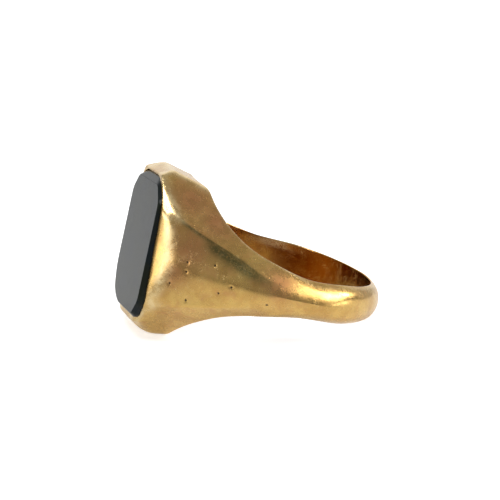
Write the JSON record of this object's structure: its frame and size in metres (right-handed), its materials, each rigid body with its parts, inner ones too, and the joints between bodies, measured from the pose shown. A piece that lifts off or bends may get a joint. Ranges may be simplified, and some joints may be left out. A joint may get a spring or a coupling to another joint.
{
  "type": "signet ring",
  "caption": "Gold signet ring: tapered shank with flat-faceted shoulders and a cut-corner head holding a dark bevelled stone tablet.",
  "frame": {"origin": "middle of the finger bore, on its axis", "axes": "+Z along the finger bore, the head with the stone towards -X, the back of the shank towards +X"},
  "size_m": [0.0225, 0.0208, 0.0142],
  "materials": {
    "gold": "satin, worn, slightly tarnished 9 carat gold",
    "dark_stone": "polished, near black",
    "setting_cement": "matt brown setter's cement"
  },
  "bodies": {
    "root": {"ring_body": "gold", "stone_tablet": "dark_stone", "cement_bed": "setting_cement"}
  },
  "joints": []
}
